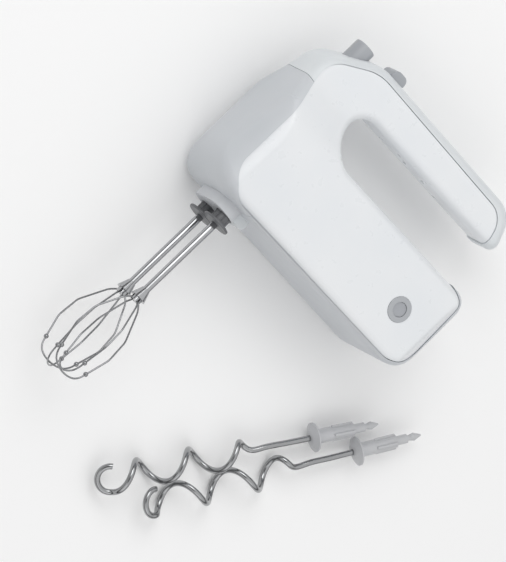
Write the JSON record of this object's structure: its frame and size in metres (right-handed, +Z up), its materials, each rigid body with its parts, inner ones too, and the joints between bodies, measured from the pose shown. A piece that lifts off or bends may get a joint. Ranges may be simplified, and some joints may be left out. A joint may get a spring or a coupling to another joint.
{
  "type": "hand mixer",
  "caption": "Electric hand mixer lying on its side, with wire whisks fitted in its drive sockets and loose spiral dough hooks beside it.",
  "frame": {"origin": "centre of the bounding box's base, on the surface that the mixer and its hooks lie on", "axes": "+X from the mixer's nose to its heel, +Y from the whisks to the handle, +Z up, across the mixer's width"},
  "size_m": [0.3158, 0.3668, 0.0814],
  "materials": {
    "white_casing": "moulded ABS, satin gloss",
    "grey_casing": "moulded ABS, silver-grey satin",
    "light_cover": "moulded ABS, light grey",
    "grey_controls": "moulded ABS, mid grey satin",
    "inner_plastic": "glass-filled nylon",
    "gear_plastic": "acetal",
    "machined_steel": "turned",
    "polished_steel": "polished stainless steel",
    "dark_plastic": "moulded nylon, dark grey",
    "stem_plastic": "moulded acetal, light grey",
    "lamination": "stacked laminations",
    "copper": "enamelled copper",
    "bronze": "sintered bronze",
    "carbon": "carbon",
    "spring_steel": "drawn",
    "circuit_board": "resin board"
  },
  "bodies": {
    "mixer_body": {"side_shell_left": "white_casing", "side_shell_right": "white_casing", "nose_cover": "grey_casing", "top_band": "grey_casing", "bottom_band": "grey_casing", "socket_cover": "light_cover", "front_foot": "grey_casing", "button_bezel_left": "grey_controls", "button_bezel_right": "grey_controls", "port_ring": "inner_plastic", "cord_gland": "grey_casing", "stator_core": "lamination", "field_coil_upper": "copper", "field_coil_lower": "copper", "nose_bearing": "bronze", "front_bearing": "bronze", "rear_bearing": "bronze", "motor_bracket": "inner_plastic", "brush_holder_left": "inner_plastic", "brush_holder_right": "inner_plastic", "carbon_brush_left": "carbon", "carbon_brush_right": "carbon", "gearbox_housing": "inner_plastic", "gearbox_lid": "inner_plastic", "speed_board": "circuit_board", "eject_spring": "spring_steel", "spring_shelf": "inner_plastic", "release_spring_left": "spring_steel", "release_spring_right": "spring_steel"},
    "rotor": {"armature_shaft": "machined_steel", "worm_thread": "machined_steel", "armature_core": "lamination", "commutator": "copper", "cooling_fan": "inner_plastic", "rear_coupling": "dark_plastic"},
    "drive_left": {"drive_gear_left": "gear_plastic", "drive_spindle_left": "machined_steel"},
    "drive_right": {"drive_gear_right": "gear_plastic", "drive_spindle_right": "machined_steel"},
    "whisk_left": {"whisk_shaft_left": "polished_steel", "whisk_collar_left": "dark_plastic", "whisk_hub_left": "polished_steel", "whisk_wires_left": "polished_steel", "whisk_beads_left": "polished_steel"},
    "whisk_right": {"whisk_shaft_right": "polished_steel", "whisk_collar_right": "dark_plastic", "whisk_hub_right": "polished_steel", "whisk_wires_right": "polished_steel", "whisk_beads_right": "polished_steel"},
    "ejector": {"eject_button": "grey_controls", "ejector_rod": "inner_plastic"},
    "speed_switch": {"speed_slider": "grey_controls", "speed_contact": "inner_plastic"},
    "release_left": {"release_button_left": "grey_controls"},
    "release_right": {"release_button_right": "grey_controls"},
    "port_cover": {"port_shutter": "grey_casing"},
    "hook_left": {"dough_hook_left": "polished_steel", "dough_hook_stem_left": "stem_plastic"},
    "hook_right": {"dough_hook_right": "polished_steel", "dough_hook_stem_right": "stem_plastic"}
  },
  "joints": [
    {"name": "rotor_spin", "type": "hinge", "parent": "mixer_body", "child": "rotor", "pos_m": [-0.05388, 0.06467, 0.0407], "axis": [1, 0, 0], "continuous": true},
    {"name": "drive_left_spin", "type": "hinge", "parent": "mixer_body", "child": "drive_left", "pos_m": [-0.11388, 0.04067, 0.0527], "axis": [0, 1, 0], "continuous": true},
    {"name": "drive_right_spin", "type": "hinge", "parent": "mixer_body", "child": "drive_right", "pos_m": [-0.11388, 0.04067, 0.0287], "axis": [0, 1, 0], "continuous": true},
    {"name": "whisk_left_pull", "type": "slide", "parent": "drive_left", "child": "whisk_left", "axis": [0, -1, 0], "range_m": [0, 0.045]},
    {"name": "whisk_right_pull", "type": "slide", "parent": "drive_right", "child": "whisk_right", "axis": [0, -1, 0], "range_m": [0, 0.045]},
    {"name": "eject_press", "type": "slide", "parent": "mixer_body", "child": "ejector", "axis": [0, -1, 0], "range_m": [0, 0.005], "stiffness_N_per_m": 400, "deforming": ["eject_spring"]},
    {"name": "speed_slide", "type": "slide", "parent": "mixer_body", "child": "speed_switch", "axis": [0.9986, 0.052, 0], "range_m": [0, 0.012]},
    {"name": "release_left_press", "type": "slide", "parent": "mixer_body", "child": "release_left", "axis": [0, 0, -1], "range_m": [0, 0.0025], "stiffness_N_per_m": 600, "deforming": ["release_spring_left"]},
    {"name": "release_right_press", "type": "slide", "parent": "mixer_body", "child": "release_right", "axis": [0, 0, 1], "range_m": [0, 0.0025], "stiffness_N_per_m": 600, "deforming": ["release_spring_right"]},
    {"name": "port_cover_slide", "type": "slide", "parent": "mixer_body", "child": "port_cover", "axis": [-0.0827, 0.9966, 0], "range_m": [0, 0.02]},
    {"name": "hook_left_lift", "type": "slide", "parent": "mixer_body", "child": "hook_left", "axis": [0, 0, 1], "range_m": [0, 0.06]},
    {"name": "hook_right_lift", "type": "slide", "parent": "mixer_body", "child": "hook_right", "axis": [0, 0, 1], "range_m": [0, 0.06]}
  ],
  "couplings": [
    {"joint": "drive_left_spin", "follows": "rotor_spin", "ratio": -0.045455},
    {"joint": "drive_right_spin", "follows": "rotor_spin", "ratio": 0.045455},
    {"joint": "whisk_right_pull", "follows": "whisk_left_pull", "ratio": 1}
  ]
}
